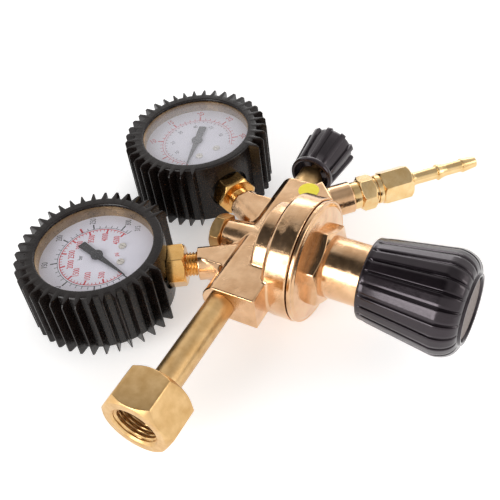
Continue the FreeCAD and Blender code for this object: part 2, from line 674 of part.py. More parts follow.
def small_knob():
    """Tapered knob with square raised ribs and a plain skirt."""
    low, high = SMALL_KNOB_Y
    near, far = SMALL_KNOB_R
    core = 1.6
    outside = [(low, 0), (low, near - 0.5), (low + 0.6, near), (low + 3.0, near), (low + 3.6, near - 0.5)]
    outside += [(high - 1.2, far - core), (high, far - core - 1.0), (high, 0)]
    pieces = [turned(VALVE_LINE, outside)]
    rib_end = high - 0.6
    envelope = [(low + 3.0, 0), (low + 3.0, near), (high - 2.0, far), (rib_end, far - 1.4), (rib_end, 0)]
    limit = turned(VALVE_LINE, envelope)
    for index in range(SMALL_KNOB_RIBS):
        turn = 360.0 * index / SMALL_KNOB_RIBS
        side = Line(ORIGIN, Y, VALVE_LINE.point(0, 1.0, turn))
        bar = prism(side, low + 3.0, rib_end, [(5.0, -1.5), (far + 1, -1.5), (far + 1, 1.5), (5.0, 1.5)])
        pieces.append(bar.common(limit))
    room = rod(VALVE_LINE, low - 1, 61.5, 9.9)
    bore = rod(VALVE_LINE, 60, 79.0, SPINDLE_R)
    return without(joined(pieces), [room, bore, rod(VALVE_LINE, 79.0, high + 1, 4.4)])


def small_knob_screw():
    """Slotted screw in the end of the small knob."""
    head = rod(VALVE_LINE, 79.0, 81.4, 4.0)
    return head.cut(Part.makeBox(9, 1.2, 1.0, V(-4.5, 80.4, -0.5)))


# ---------------------------------------------------------------- outlet fittings

def outlet_adaptor():
    """Threaded nipple in the branch with a hexagon and a cone face for the tail."""
    thread = rod(BRANCH_LINE, 25.4, BRANCH_END + 0.6, GAUGE_THREAD_R)
    collar = rod(BRANCH_LINE, BRANCH_END, ADAPTOR_HEX[0], 7.1)
    across = hexagon(BRANCH_LINE, ADAPTOR_HEX[0], ADAPTOR_HEX[1], FITTING_ACROSS, ADAPTOR_CORNER_AT, 1.0)
    nose = rod(BRANCH_LINE, ADAPTOR_HEX[1], 60.6, UNION_THREAD_R)
    seat = turned(BRANCH_LINE, [(57.6, 0), (57.6, 2.0), (60.7, 5.2), (60.7, 0)])
    solid = joined([thread, collar, across, nose])
    return without(solid, [rod(BRANCH_LINE, 25, 58, 2.0), seat])


def union_nut():
    collar = rod(BRANCH_LINE, UNION_NUT[0], UNION_COLLAR_END + 0.5, 7.5)
    across = hexagon(BRANCH_LINE, UNION_COLLAR_END, UNION_NUT[1], FITTING_ACROSS, UNION_CORNER_AT, 1.3)
    cuts = [rod(BRANCH_LINE, UNION_NUT[0] - 1, 66.0, UNION_THREAD_R + RUN)]
    cuts.append(rod(BRANCH_LINE, 65, 70, BARB_COLLAR_R + CLEAR))
    return without(collar.fuse(across).removeSplitter(), cuts)


def hose_barb():
    """Hose tail: cone nose held by the union nut, collar, tube and two ridges."""
    profile = [(58.4, 0), (58.4, 2.4), (60.6, 4.6), (60.8, 5.9), (65.7, 5.9), (65.7, BARB_COLLAR_R)]
    profile += [(71.2, BARB_COLLAR_R), (71.2, BARB_TUBE_R), (BARB_RIDGE_AT, BARB_TUBE_R)]
    profile += [(BARB_RIDGE_AT, BARB_RIDGE_R), (BARB_RIDGE_AT + 0.6, BARB_RIDGE_R), (87.2, 3.5)]
    profile += [(89.8, BARB_END_R), (98.5, BARB_END_R), (98.5, 3.75), (99.0, 3.75)]
    profile += [(BARB_END, 2.75), (BARB_END, 0)]
    return turned(BRANCH_LINE, profile).cut(rod(BRANCH_LINE, 57, BARB_END + 1, 1.5))


def sticker():
    """Plain oval label on the flat of the outlet web."""
    return Part.makeCylinder(5.3, 0.15, V(8.9, 35.6, ARM_HALF), Z)


# ---------------------------------------------------------------- assembly

def gauge_pieces(name, side):
    makers = {"socket": gauge_socket, "case": gauge_case, "boot": gauge_boot, "bezel": gauge_bezel}
    makers.update({"lens": gauge_lens, "dial": gauge_dial, "dial_screws": dial_screws})
    makers.update({"movement_frame": movement_frame, "sector_gear": sector_gear})
    makers.update({"pointer_arbor": pointer_arbor, "pointer": gauge_pointer})
    makers.update({"bourdon_tube": bourdon_tube, "link": gauge_link})
    return {name + "_" + piece: make(side) for piece, make in makers.items()}


def all_pieces():
    makers = [body_casting, inlet_stem, inlet_filter, inlet_washer, inlet_nut, rear_plug]
    makers += [poppet, poppet_seal, poppet_spring, seat_nozzle, diaphragm_pusher, diaphragm, slip_ring]
    makers += [diaphragm_plate, adjusting_spring, spring_button, bonnet, adjusting_screw]
    makers += [knob, knob_screw, knob_cap, packing_nut, valve_ring, valve_spindle, valve_plunger, valve_pad]
    makers += [small_knob, small_knob_screw, outlet_adaptor, union_nut, hose_barb, sticker]
    pieces = {make.__name__: make() for make in makers}
    pieces.update(gauge_pieces("high_gauge", -1))
    pieces.update(gauge_pieces("low_gauge", 1))
    return pieces


def place(pieces):
    """Tilt about Y onto the bench, then stand the whole box's bottom centre at the origin."""
    tilt = FreeCAD.Placement(ORIGIN, FreeCAD.Rotation(Y, -LIE_TILT))
    for shape in pieces.values():
        shape.Placement = tilt.multiply(shape.Placement)
    corners = [point for shape in pieces.values() for point in shape.tessellate(0.05)[0]]
    spans = [(min(values), max(values)) for values in zip(*[(p.x, p.y, p.z) for p in corners])]
    shift = V(-sum(spans[0]) / 2, -sum(spans[1]) / 2, -spans[2][0])
    for shape in pieces.values():
        shape.translate(shift)
    return shift


def main():
    pieces = all_pieces()
    shift = place(pieces)
    os.makedirs("parts", exist_ok=True)
    for name, shape in pieces.items():
        shape.exportStep(os.path.join("parts", name + ".step"))
    print("pieces", len(pieces), "shift", [round(value, 3) for value in shift])


if __name__ == "__main__":
    main()
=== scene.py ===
"""Looks of the two-gauge carbon dioxide regulator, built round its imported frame.

Shapes are drawn in millimetres in the regulator's own axes: X along the adjusting knob, Y from
the inlet to the outlet valve, Z out of the gauge dials.  AXES carries them into the frame, which
holds the regulator as it lies on a bench.  Most shapes are drawn along a line: a matrix whose
third axis runs along the part and whose first axis is where angles start.
"""

import json
from math import cos, degrees, pi, radians, sin, sqrt

import bmesh
import bpy
from mathutils import Matrix, Vector


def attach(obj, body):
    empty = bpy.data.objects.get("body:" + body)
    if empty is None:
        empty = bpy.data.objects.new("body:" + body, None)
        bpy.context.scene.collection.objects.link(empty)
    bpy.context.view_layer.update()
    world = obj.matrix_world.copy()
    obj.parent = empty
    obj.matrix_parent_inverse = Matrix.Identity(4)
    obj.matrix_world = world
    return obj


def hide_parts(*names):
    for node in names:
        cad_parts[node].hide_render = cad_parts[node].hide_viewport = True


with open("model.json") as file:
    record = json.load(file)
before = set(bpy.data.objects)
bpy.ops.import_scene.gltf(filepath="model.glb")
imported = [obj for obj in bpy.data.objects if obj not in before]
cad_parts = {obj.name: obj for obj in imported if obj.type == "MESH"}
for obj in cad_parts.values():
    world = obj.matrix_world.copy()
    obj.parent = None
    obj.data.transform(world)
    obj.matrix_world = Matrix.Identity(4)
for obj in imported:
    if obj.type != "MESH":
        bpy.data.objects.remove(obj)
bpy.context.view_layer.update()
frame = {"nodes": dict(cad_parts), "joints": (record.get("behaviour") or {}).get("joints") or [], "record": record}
NODES = frame["nodes"]
JOINTS = {joint["name"]: joint for joint in frame["joints"]}
BODIES = frame["record"]["behaviour"]["bodies"]
BODY_OF = {node: body for body, nodes in BODIES.items() for node in nodes}
SLOT_OF = {part["node"]: part["material_slot"] for part in frame["record"]["subparts"]}

MM = 0.001
X = Vector((1, 0, 0))
Y = Vector((0, 1, 0))
Z = Vector((0, 0, 1))
KNOB_JOINT_X = 80.0        # where the knob's joint sits along its own axis


def regulator_axes():
    """Matrix from the regulator's own axes, in mm, to the frame."""
    along = -Vector(JOINTS["knob_turn"]["axis"])
    across = -Vector(JOINTS["inlet_nut_spin"]["axis"])
    turn = Matrix((along, across, along.cross(across))).transposed().to_4x4()
    origin = Vector(JOINTS["knob_turn"]["pos_m"]) - along * KNOB_JOINT_X * MM
    return Matrix.Translation(origin) @ turn @ Matrix.Scale(MM, 4)


AXES = regulator_axes()


def line(base, along, start):
    """Matrix of a part's own line: its third axis runs along, its first axis is angle zero."""
    along = Vector(along).normalized()
    start = Vector(start).normalized()
    turn = Matrix((start, along.cross(start), along)).transposed().to_4x4()
    return Matrix.Translation(base) @ turn


# ---------------------------------------------------------------- sizes, mm

NUT_ACROSS = 32.0
NUT_SPAN = (93.9, 114.6)
NUT_WALL = 3.4
NUT_THREAD = (103.0, 113.8)
NUT_RELIEF_R = 11.3
NUT_THREAD_R = (10.9, 9.75)     # root and crest
NUT_PITCH = 1.814
STEM_R = 6.9
BONNET_ACROSS = 36.0
BONNET_CORNER_AT = 30.0
NECK_R = 15.15
SPRING_BORE_R = 12.2
KNOB_SPAN = (57.0, 105.5)
KNOB_R = (19.9, 25.2)
KNOB_LANDS = 22
SMALL_KNOB_SPAN = (55.3, 83.0)
SMALL_KNOB_R = (11.6, 13.9)
SMALL_KNOB_RIBS = 10
STEM_MEET_X = 17.5
STEM_ANGLE = 30.0
GAUGE_REACH = 94.5
BOOT_Z = (-16.6, 19.4)
LIP_UNDER = 17.8
BOOT_BODY_R = 33.6
RIB_TIP_R = 38.8
RIB_PITCH = 9.3
RIB_FREE = 31.0
WINDOW_R = 28.7
CASE_R = 31.2
CASE_BACK = -14.4
STEM_HOLE_R = 11.0
DIAL_TOP = 11.6
BEZEL_R = 28.45
BEZEL_TOP = 17.8
GAUGE_HEX = (32.5, 41.8)
GAUGE_THREAD_R = (6.0, 5.3)
FITTING_ACROSS = 16.0

KNOB_LINE = line((0, 0, 0), X, Y)
INLET_LINE = line((0, 0, 0), -Y, X)
VALVE_LINE = line((0, 0, 0), Y, Z)
BRANCH_LINE = line((0, 22.4, 0), (1, 1, 0), (-1, 1, 0))
GAUGE_SIDES = {"high_gauge": -1, "low_gauge": 1}


def gauge_lines(side):
    """Stem line from the dial's centre to the body, and dial line with angle zero at the stem."""
    out = Vector((-cos(radians(STEM_ANGLE)), side * sin(radians(STEM_ANGLE)), 0))
    centre = Vector((STEM_MEET_X, 0, 0)) + out * GAUGE_REACH
    return line(centre, -out, Z.cross(-out)), line(centre, Z, -out)


# ---------------------------------------------------------------- mesh tools

ROUND_STEPS = 3


def rounded(corners, radius, loop=True):
    """Outline with each corner replaced by a short curve, always the same number of points."""
    points = [Vector(corner) for corner in corners]
    count = len(points)
    outline = []
    for index, corner in enumerate(points):
        if not loop and index in (0, count - 1):
            outline.append(corner)
            continue
        before = points[index - 1] - corner
        after = points[(index + 1) % count] - corner
        reach = min(radius, before.length * 0.45, after.length * 0.45)
        first = corner + before.normalized() * reach
        last = corner + after.normalized() * reach
        for step in range(ROUND_STEPS + 1):
            t = step / ROUND_STEPS
            outline.append(first * (1 - t) ** 2 + corner * (2 * t * (1 - t)) + last * t ** 2)
    return outline


def skin(rows, loop=False):
    """Shell over rows of points; every row closes on itself, and so do the rows if loop is true."""
    wide = len(rows[0])
    points = [point for row in rows for point in row]
    faces = []
    for row in range(len(rows) if loop else len(rows) - 1):
        here = row * wide
        there = (row + 1) % len(rows) * wide
        for column in range(wide):
            beside = (column + 1) % wide
            faces.append((here + column, here + beside, there + beside, there + column))
    if not loop:
        faces.append(tuple(reversed(range(wide))))
        faces.append(tuple(range(len(points) - wide, len(points))))
    return points, faces


def ring(distance, radius_at, angles):
    return [(radius_at(a) * cos(radians(a)), radius_at(a) * sin(radians(a)), distance) for a in angles]


def even_angles(count):
    return [360.0 * index / count for index in range(count)]


def lathe(profile, rounding=0.3, loop=False, columns=128):
    """Turned shell from (distance, radius) corners; a looped profile makes a ring or tube."""
    outline = rounded(profile, rounding, loop)
    angles = even_angles(columns)
    return skin([ring(point[0], lambda a, r=point[1]: r, angles) for point in outline], loop)


def outline_rows(angles, outlines):
    """Rows of points round an axis, from one (distance, radius) outline for each angle."""
    rows = []
    for step in range(len(outlines[0])):
        row = []
        for angle, outline in zip(angles, outlines):
            distance, radius = outline[step]
            row.append((radius * cos(radians(angle)), radius * sin(radians(angle)), distance))
        rows.append(row)
    return rows


def column_skin(profile_at, angles, rounding=0.3):
    """Closed shell whose (distance, radius) outline differs from one angle to the next."""
    outlines = [rounded(profile_at(angle), rounding) for angle in angles]
    return skin(outline_rows(angles, outlines), loop=True)


HEX_STEPS = 18


def hex_angles(first):
    """Angles round a hexagon, crowded towards its corners."""
    turns = []
    for side in range(6):
        middle = first + 60.0 * side + 30.0
        turns += [middle + 30.0 * sin(pi / 2 * (2 * step / HEX_STEPS - 1)) for step in range(HEX_STEPS)]
    return turns


def hex_radius(angle, across, first):
    """Radius of a hexagon with slightly rounded corners."""
    off = abs((angle - first) % 60.0 - 30.0)
    return across / 2 / cos(radians(min(off, 29.2)))


def hexagon(span, across, first, bore, chamfers=(1.5, 1.5)):
    """Hexagon bar with a round bore; its cone chamfers meet the flats in scallops."""
    start, end = span
    low = across / 2 * 0.975
    corner = across / 2 / cos(pi / 6)

    def profile(angle):
        radius = hex_radius(angle, across, first)
        share = (radius - low) / (corner - low)
        return [(start, bore), (start, low), (start + chamfers[0] * share, radius),
                (end - chamfers[1] * share, radius), (end, low), (end, bore)]

    return column_skin(profile, hex_angles(first), 0.22)


def thread_height(distance, angle, pitch):
    """0 in the thread's root and 1 on its crest, with both slightly flattened."""
    phase = (distance / pitch + angle / 360.0) % 1.0
    return min(1.0, max(0.0, 1.3 - abs(phase - 0.5) * 3.2))


def thread_rows(span, root, crest, pitch, angles):
    """Rows of a helical thread that fades out over half a turn at both ends."""
    steps = int((span[1] - span[0]) / pitch * 10)
    rows = []
    for step in range(steps + 1):
        distance = span[0] + (span[1] - span[0]) * step / steps
        fade = min(1.0, (distance - span[0]) / (pitch / 2), (span[1] - distance) / (pitch / 2))

        def radius(angle):
            return root + (crest - root) * fade * thread_height(distance, angle, pitch)

        rows.append(ring(distance, radius, angles))
    return rows


def threaded_rod(span, radii, pitch):
    return skin(thread_rows(span, radii[1], radii[0], pitch, even_angles(96)))


def plate(outline, bottom, top, bevel):
    """Flat piece from an outline, with bevelled edges."""
    mesh = bmesh.new()
    face = mesh.faces.new([mesh.verts.new((x, y, bottom)) for x, y in outline])
    upper = bmesh.ops.extrude_face_region(mesh, geom=[face])["geom"]
    raised = [item for item in upper if isinstance(item, bmesh.types.BMVert)]
    bmesh.ops.translate(mesh, vec=(0, 0, top - bottom), verts=raised)
    bmesh.ops.bevel(mesh, geom=mesh.edges[:], offset=bevel, segments=2, affect="EDGES", profile=0.5)
    mesh.verts.index_update()
    points = [tuple(vert.co) for vert in mesh.verts]
    faces = [tuple(vert.index for vert in face.verts) for face in mesh.faces]
    mesh.free()
    return points, faces


def mesh_of(name, shells, place, sharp=32.0):
    """Mesh of several closed shells, drawn along a line and carried into the frame."""
    points, faces = [], []
    for shell_points, shell_faces in shells:
        base = len(points)
        points += [AXES @ place @ Vector(point) for point in shell_points]
        faces += [tuple(base + index for index in face) for face in shell_faces]
    mesh = bpy.data.meshes.new(name)
    mesh.from_pydata(points, [], faces)
    tidy = bmesh.new()
    tidy.from_mesh(mesh)
    bmesh.ops.remove_doubles(tidy, verts=tidy.verts, dist=1e-7)
    bmesh.ops.recalc_face_normals(tidy, faces=tidy.faces)
    tidy.to_mesh(mesh)
    tidy.free()
    smooth(mesh, sharp)
    return mesh


def smooth(mesh, sharp):
    mesh.shade_smooth()
    mesh.set_sharp_from_angle(angle=radians(sharp))


def show(mesh, finish, node, replace=True):
    """Object for a finished mesh that rides with its CAD node, and stands for it if asked."""
    piece = loose(mesh)
    mesh.materials.clear()
    mesh.materials.append(FINISHES[finish])
    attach(piece, BODY_OF[node])
    if replace:
        piece.name = node + "_look"
        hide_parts(node)


def stand_in(node, shells, place, sharp=32.0, finish=None):
    show(mesh_of(node + "_look", shells, place, sharp), finish or SLOT_OF[node], node)


def applied(piece):
    """The piece's mesh with its modifiers applied; the piece itself is removed."""
    graph = bpy.context.evaluated_depsgraph_get()
    mesh = bpy.data.meshes.new_from_object(piece.evaluated_get(graph))
    bpy.data.objects.remove(piece)
    return mesh


def loose(data):
    """New object in the scene for a mesh or a curve."""
    piece = bpy.data.objects.new(data.name, data)
    bpy.context.scene.collection.objects.link(piece)
    return piece


# ---------------------------------------------------------------- finishes

def ranged(tree, value, limits):
    """Map a value from one range to another; limits are from min, from max, to min, to max."""
    made = tree.nodes.new("ShaderNodeMapRange")
    for key, number in zip(("From Min", "From Max", "To Min", "To Max"), limits):
        made.inputs[key].default_value = number
    tree.links.new(value, made.inputs["Value"])
    return made.outputs["Result"]


class Finish:
    """Node material on one Principled shader, with short ways to make its patterns."""

    def __init__(self, name, color, **sockets):
        self.name = name
        self.material = bpy.data.materials.new(name)
        self.material.use_nodes = True
        self.tree = self.material.node_tree
        self.shader = self.tree.nodes["Principled BSDF"]
        self.shader.inputs["Base Color"].default_value = (*color, 1)
        for socket, value in sockets.items():
            self.shader.inputs[socket.replace("_", " ").title().replace("Ior", "IOR")].default_value = value
        self.place = self.node("ShaderNodeTexCoord").outputs["Object"]
        self.surface = None

    def node(self, kind, **settings):
        made = self.tree.nodes.new(kind)
        for key, value in settings.items():
            setattr(made, key, value)
        return made

    def join(self, output, socket):
        self.tree.links.new(output, socket)

    def noise(self, size, detail=3.0, roughness=0.55, squeeze=None):
        """Noise with features of about size mm; squeeze scales the three axes."""
        where = self.place
        if squeeze is not None:
            mapping = self.node("ShaderNodeMapping")
            mapping.inputs["Scale"].default_value = squeeze
            self.join(where, mapping.inputs["Vector"])
            where = mapping.outputs["Vector"]
        made = self.node("ShaderNodeTexNoise")
        made.inputs["Scale"].default_value = 1 / (size * MM)
        made.inputs["Detail"].default_value = detail
        made.inputs["Roughness"].default_value = roughness
        self.join(where, made.inputs["Vector"])
        return made.outputs["Fac"]

    def turned(self, along, size):
        """Noise that only varies along one direction, as turning marks do."""
        dot = self.node("ShaderNodeVectorMath", operation="DOT_PRODUCT")
        dot.inputs[1].default_value = along
        self.join(self.place, dot.inputs[0])
        made = self.node("ShaderNodeTexNoise", noise_dimensions="1D")
        made.inputs["Scale"].default_value = 1 / (size * MM)
        made.inputs["Detail"].default_value = 4.0
        self.join(dot.outputs["Value"], made.inputs["W"])
        return made.outputs["Fac"]

    def ramp(self, value, stops):
        made = self.node("ShaderNodeValToRGB")
        made.color_ramp.elements[0].position = stops[0][0]
        made.color_ramp.elements[0].color = (*stops[0][1], 1)
        made.color_ramp.elements[1].position = stops[-1][0]
        made.color_ramp.elements[1].color = (*stops[-1][1], 1)
        for position, color in stops[1:-1]:
            made.color_ramp.elements.new(position).color = (*color, 1)
        self.join(value, made.inputs["Fac"])
        return made.outputs["Color"]

    def spread(self, value, low, high, start=0.3, end=0.7):
        return ranged(self.tree, value, (start, end, low, high))

    def tint(self, value, stops):
        self.join(self.ramp(value, stops), self.shader.inputs["Base Color"])

    def rough(self, value, low, high):
        self.join(self.spread(value, low, high), self.shader.inputs["Roughness"])

    def bump(self, value, depth, strength=1.0):
        """Relief of about depth mm; several calls add up."""
        made = self.node("ShaderNodeBump")
        made.inputs["Strength"].default_value = strength
        made.inputs["Distance"].default_value = depth * MM
        self.join(value, made.inputs["Height"])
        if self.surface is not None:
            self.join(self.surface, made.inputs["Normal"])
        self.surface = made.outputs["Normal"]
        self.join(self.surface, self.shader.inputs["Normal"])
        return made


def mixed(low, high):
    return [(0.3, low), (0.7, high)]


def cast_brass():
    finish = Finish("cast_brass", (0.75, 0.46, 0.25), metallic=1.0, coat_weight=0.35, coat_roughness=0.04)
    finish.tint(finish.noise(9.0), mixed((0.66, 0.39, 0.20), (0.84, 0.55, 0.32)))
    finish.rough(finish.noise(2.5), 0.09, 0.22)
    finish.bump(finish.noise(6.0, 2.0), 0.10)
    finish.bump(finish.noise(0.7, 5.0, 0.7), 0.035)
    pits = finish.bump(finish.noise(1.1, 6.0, 0.8), 0.30)
    finish.join(finish.spread(finish.noise(11.0, 2.0), 0.0, 1.0, 0.54, 0.66), pits.inputs["Strength"])
    return finish


def lathe_brass(name, colors, rough, marks, along=None, coat=0.0):
    """Machined brass with turning marks along one direction, or fine drag marks everywhere."""
    finish = Finish(name, colors[0], metallic=1.0, coat_weight=coat, coat_roughness=0.1)
    finish.tint(finish.noise(5.0), mixed(*colors))
    finish.rough(finish.noise(1.2, 4.0), *rough)
    if along is None:
        finish.bump(finish.noise(0.4, 4.0, squeeze=(1, 1, 0.12)), marks)
    else:
        finish.bump(finish.turned(along, 0.35), marks)
    finish.bump(finish.noise(0.25, 2.0), marks * 0.4)
    return finish


def black_plastic():
    finish = Finish("black_plastic", (0.006, 0.004, 0.006), coat_weight=0.2, coat_roughness=0.08)
    # The pink specular tint is painted light: it gives the knobs' highlights the mauve tint of a studio lamp
    finish.shader.inputs["Specular Tint"].default_value = (1.0, 0.86, 0.95, 1)
    finish.tint(finish.noise(14.0), mixed((0.004, 0.003, 0.004), (0.009, 0.006, 0.008)))
    finish.rough(finish.noise(1.6, 4.0), 0.14, 0.26)
    finish.bump(finish.noise(8.0, 1.0), 0.05)
    finish.bump(finish.noise(0.3, 3.0), 0.004)
    return finish


def boot_rubber():
    finish = Finish("boot_rubber", (0.007, 0.005, 0.005), specular_ior_level=0.35)
    finish.tint(finish.noise(11.0), mixed((0.005, 0.003, 0.0025), (0.011, 0.007, 0.006)))
    finish.rough(finish.noise(1.5, 4.0), 0.20, 0.36)
    finish.bump(finish.noise(5.0, 2.0), 0.06)
    finish.bump(finish.noise(0.22, 4.0), 0.010)
    return finish


def mottled(name, low, high, rough, grain, size=3.0, **sockets):
    """Plain material with slight colour variation and a fine grain."""
    finish = Finish(name, low, **sockets)
    finish.tint(finish.noise(size), mixed(low, high))
    finish.rough(finish.noise(size / 2, 4.0), *rough)
    finish.bump(finish.noise(0.3, 4.0), grain)
    return finish


def window(name, alpha):
    """Clear plastic: only its even alpha lets the dial through."""
    return Finish(name, (0.93, 0.94, 0.98), roughness=0.03, alpha=alpha, specular_ior_level=0.6)


def along_frame(direction):
    return (AXES.to_3x3() @ Vector(direction)).normalized()


def brasses():
    gauge = ((0.72, 0.41, 0.12), (0.82, 0.50, 0.18))
    bezel_wall = ((0.26, 0.17, 0.09), (0.36, 0.25, 0.14))
    machined = ((0.60, 0.37, 0.15), (0.74, 0.50, 0.24))
    pale = ((0.82, 0.56, 0.25), (0.92, 0.68, 0.36))
    return [lathe_brass("machined_brass", machined, (0.28, 0.44), 0.014, along_frame(Y)),
            lathe_brass("gauge_brass", gauge, (0.16, 0.28), 0.003, coat=0.3),
            lathe_brass("bezel_brown", bezel_wall, (0.24, 0.36), 0.002),
            lathe_brass("pale_brass", pale, (0.14, 0.26), 0.005, along_frame((1, 1, 0)))]


def steels():
    return [mottled("filter_bronze", (0.30, 0.19, 0.09), (0.52, 0.36, 0.20), (0.5, 0.7), 0.15, 0.6,
                    metallic=0.9),
            mottled("spring_steel", (0.42, 0.42, 0.44), (0.55, 0.55, 0.57), (0.2, 0.34), 0.004,
                    metallic=1.0),
            mottled("screw_steel", (0.50, 0.47, 0.42), (0.66, 0.63, 0.58), (0.2, 0.36), 0.006, 1.2,
                    metallic=1.0),
            mottled("case_steel", (0.02, 0.02, 0.022), (0.035, 0.034, 0.036), (0.3, 0.45), 0.006)]


def dial_finishes():
    return [mottled("dial_white", (0.70, 0.69, 0.78), (0.76, 0.75, 0.84), (0.35, 0.5), 0.002, 12.0),
            mottled("needle_black", (0.003, 0.003, 0.004), (0.007, 0.006, 0.007), (0.4, 0.55), 0.003,
                    specular_ior_level=0.2),
            mottled("dial_black_ink", (0.006, 0.006, 0.010), (0.014, 0.014, 0.020), (0.5, 0.6), 0.001),
            mottled("dial_red_ink", (0.50, 0.008, 0.020), (0.62, 0.015, 0.03), (0.5, 0.6), 0.001),
            window("window", 0.04),
            # Whiter, less clear window for the low gauge: a painted reflection that washes out its dial
            window("window_painted_reflection", 0.16)]


def other_finishes():
    return [black_plastic(),
            boot_rubber(),
            mottled("knob_insert", (0.14, 0.11, 0.10), (0.26, 0.22, 0.20), (0.55, 0.75), 0.12, 0.9),
            mottled("seal_rubber", (0.05, 0.035, 0.03), (0.09, 0.07, 0.06), (0.6, 0.75), 0.01),
            mottled("label_yellow", (0.90, 0.76, 0.01), (0.98, 0.86, 0.04), (0.35, 0.5), 0.006, 1.5)]


def all_finishes():
    made = [cast_brass()] + brasses() + steels() + dial_finishes() + other_finishes()
    return {finish.name: finish.material for finish in made}


# ---------------------------------------------------------------- cast body

CAST_VOXEL = 0.5
CAST_SOFTEN = 5


def cast_body():
    """The casting, with every edge and corner softened as a casting's are."""
    mesh = NODES["body_casting"].data.copy()
    mesh.transform(AXES.inverted())
    piece = loose(mesh)
    remesh = piece.modifiers.new("skin", "REMESH")
    remesh.mode = "VOXEL"
    remesh.voxel_size = CAST_VOXEL
    soften = piece.modifiers.new("soften", "SMOOTH")
    soften.factor = 0.5
    soften.iterations = CAST_SOFTEN
    mesh = applied(piece)
    mesh.transform(AXES)
    mesh.shade_smooth()
    show(mesh, "cast_brass", "body_casting")


# ---------------------------------------------------------------- inlet

def inlet_stem():
    head = NUT_SPAN[0] + NUT_WALL + 0.3
    face = head + 3.0
    profile = [(29.4, 2.7), (29.4, 5.6), (41.6, 5.6), (41.6, STEM_R), (head, STEM_R), (head, 10.2),
               (face, 10.2), (face, 3.4), (head - 9, 3.4), (head - 9, 2.7)]
    stand_in("inlet_stem", [lathe(profile, 0.4, loop=True)], INLET_LINE)


def inlet_nut():
    """Union nut: chamfered hexagon, undercut and a real thread inside."""
    start, end = NUT_SPAN
    low = NUT_ACROSS / 2 * 0.97
    corner = NUT_ACROSS / 2 / cos(pi / 6)
    first = 58.0
    angles = hex_angles(first)
    root, crest = NUT_THREAD_R

    def outside(angle):
        radius = hex_radius(angle, NUT_ACROSS, first)
        share = (radius - low) / (corner - low)
        corners = [(start, STEM_R + 0.3), (start, low), (start + 2.6 * share, radius),
                   (end - 2.6 * share, radius), (end, low), (end, 11.7), (end - 0.8, root)]
        return rounded(corners, 0.3, loop=False)

    outlines = [outside(angle) for angle in angles]
    rows = outline_rows(angles, outlines)
    rows += reversed(thread_rows(NUT_THREAD, root, crest, NUT_PITCH, angles))
    floor = start + NUT_WALL
    inner = [(NUT_THREAD[0], NUT_RELIEF_R), (floor, NUT_RELIEF_R), (floor, STEM_R + 0.3)]
    rows += [ring(distance, lambda a, r=radius: r, angles) for distance, radius in inner]
    stand_in("inlet_nut", [skin(rows, loop=True)], INLET_LINE)


# ---------------------------------------------------------------- bonnet and adjusting knob

def bonnet():
    thread = 27.2
    flange = [(24.3, 22.6), (24.3, thread), (28.2, thread), (28.2, 30.4), (29.8, 30.4), (30.2, 29.8),
              (29.9, 29.2), (30.8, 27.6), (31.6, 21.0),
              (31.7, 17.4), (31.7, 16.2), (30.4, 17.0), (29.6, 22.6)]
    neck = [(31.5, SPRING_BORE_R + 2.0), (31.5, NECK_R), (66.0, NECK_R), (66.0, 6.1), (56.0, 6.1),
            (56.0, SPRING_BORE_R), (33.4, SPRING_BORE_R)]
    across = hexagon((31.0, 37.7), BONNET_ACROSS, BONNET_CORNER_AT, NECK_R - 0.5, (0.2, 1.5))
    stand_in("bonnet", [lathe(flange, 0.35, loop=True), across, lathe(neck, 0.5, loop=True)], KNOB_LINE)


def knob_envelope():
    """(distance, radius, share of the groove) down the big knob, from the skirt to the end ring."""
    start, end = KNOB_SPAN
    low, high = KNOB_R
    shoulder = 94.0
    rows = [(start, low - 0.9, 0), (start + 0.15, low - 0.35, 0), (start + 0.6, low, 0)]
    rows += [(start + 1.6, low + 0.1, 0), (start + 2.4, low + 0.1, 0.35), (start + 3.4, low + 0.3, 0.85)]
    slope = (high - low) / (shoulder - start)
    rows += [(x, low + slope * (x - start), 1.0) for x in (62.0, 70.0, 78.0, 86.0, 91.0, 93.0)]
    deep = 10.4
    for step in range(13):
        turn = radians(90.0 * step / 12)
        fade = 1.0 if step < 10 else (1.0, 0.8, 0.45, 0.0)[step - 9]
        rows.append((shoulder + deep * sin(turn), 17.6 + (high - 17.6) * cos(turn), fade))
    rows += [(104.5, 17.2, 0), (104.9, 17.0, 0), (end, 16.7, 0), (end + 0.05, 16.3, 0), (end - 0.1, 15.5, 0)]
    rows += [(end - 0.5, 15.25, 0), (102.7, 15.2, 0), (102.6, 15.0, 0), (102.6, 6.0, 0)]
    rows += [(76.0, 6.0, 0), (75.0, 6.2, 0), (75.0, 15.6, 0), (74.5, 15.9, 0)]
    rows += [(start + 0.4, 15.9, 0), (start, 16.3, 0)]
    return rows


def knob():
    """Tapered knob: flat lands parted by narrow rounded grooves that run over the shoulder."""
    pitch = 360.0 / KNOB_LANDS
    half_land = pitch / 2 - 1.75
    offsets = [half_land * share for share in (-1, -0.93, -0.5, 0, 0.5, 0.93, 1)]
    offsets += [half_land + 0.5, half_land + 1.1, half_land + 1.75, half_land + 2.4, half_land + 3.0]
    angles = [pitch * land + offset for land in range(KNOB_LANDS) for offset in offsets]

    def groove(angle):
        off = abs((angle + pitch / 2) % pitch - pitch / 2)
        if off <= half_land * 0.94:
            return 0.0
        if off <= half_land + 0.01:
            return 0.10
        return 0.10 + 0.90 * sqrt(min(1.0, (off - half_land) / 1.75))

    def flat(angle):
        off = abs((angle + pitch / 2) % pitch - pitch / 2)
        return cos(radians(half_land * 0.6)) / cos(radians(off))

    rows = []
    for distance, radius, share in knob_envelope():
        def reach(angle):
            return radius * (1 + (flat(angle) - 1) * share) - 1.25 * share * groove(angle)
        rows.append(ring(distance, reach, angles))
    stand_in("knob", [skin(rows, loop=True)], KNOB_LINE, 40.0)


def knob_cap():
    profile = [(102.6, 0.01), (102.6, 15.1), (103.9, 15.1), (104.3, 14.2), (104.1, 0.01)]
    stand_in("knob_cap", [lathe(profile, 0.3)], KNOB_LINE)


# ---------------------------------------------------------------- outlet valve and fittings

